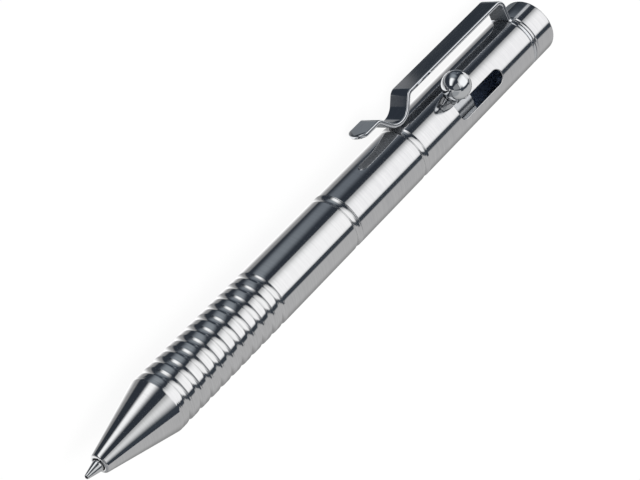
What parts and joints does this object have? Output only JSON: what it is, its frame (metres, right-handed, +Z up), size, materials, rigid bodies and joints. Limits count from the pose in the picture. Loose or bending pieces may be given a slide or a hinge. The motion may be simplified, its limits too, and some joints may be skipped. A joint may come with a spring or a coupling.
{
  "type": "bolt action pen",
  "caption": "Slim metal ballpoint pen with a grooved grip, a spring clip and a ball-ended bolt that turns in a slot.",
  "frame": {"origin": "under the middle of the pen's bounding box, on the table it lies on", "axes": "+X along the pen towards its tip, +Z up from the table, with the clip and the bolt's ball on the -Y side"},
  "size_m": [0.141, 0.0174, 0.0128],
  "materials": {
    "polished_stainless_steel": "turned and mirror polished",
    "turned_stainless_steel": "turned and mirror polished",
    "polished_spring_sheet": "stamped, bent and polished",
    "turned_bolt_steel": "turned",
    "mirror_ball_steel": "mirror polished",
    "plated_spring_wire": "drawn and plated",
    "nickel_plated_refill_tube": "drawn and nickel plated",
    "turned_point_steel": "fine turned",
    "moulded_refill_plug": "moulded",
    "tungsten_carbide_ball": "ground"
  },
  "bodies": {
    "pen_body": {"front_section": "polished_stainless_steel", "rear_barrel": "turned_stainless_steel", "tail_cap": "turned_stainless_steel", "clip": "polished_spring_sheet", "return_spring": "plated_spring_wire", "refill_tube": "nickel_plated_refill_tube", "refill_point": "turned_point_steel", "refill_plug": "moulded_refill_plug", "writing_ball": "tungsten_carbide_ball"},
    "bolt": {"bolt_carrier": "turned_bolt_steel", "bolt_knob": "mirror_ball_steel"}
  },
  "joints": [
    {"name": "bolt_turn", "type": "hinge", "parent": "pen_body", "child": "bolt", "pos_m": [-0.03898, 0.00274, 0.006], "axis": [-1, 0, 0], "range_deg": [0, 39.8]}
  ]
}
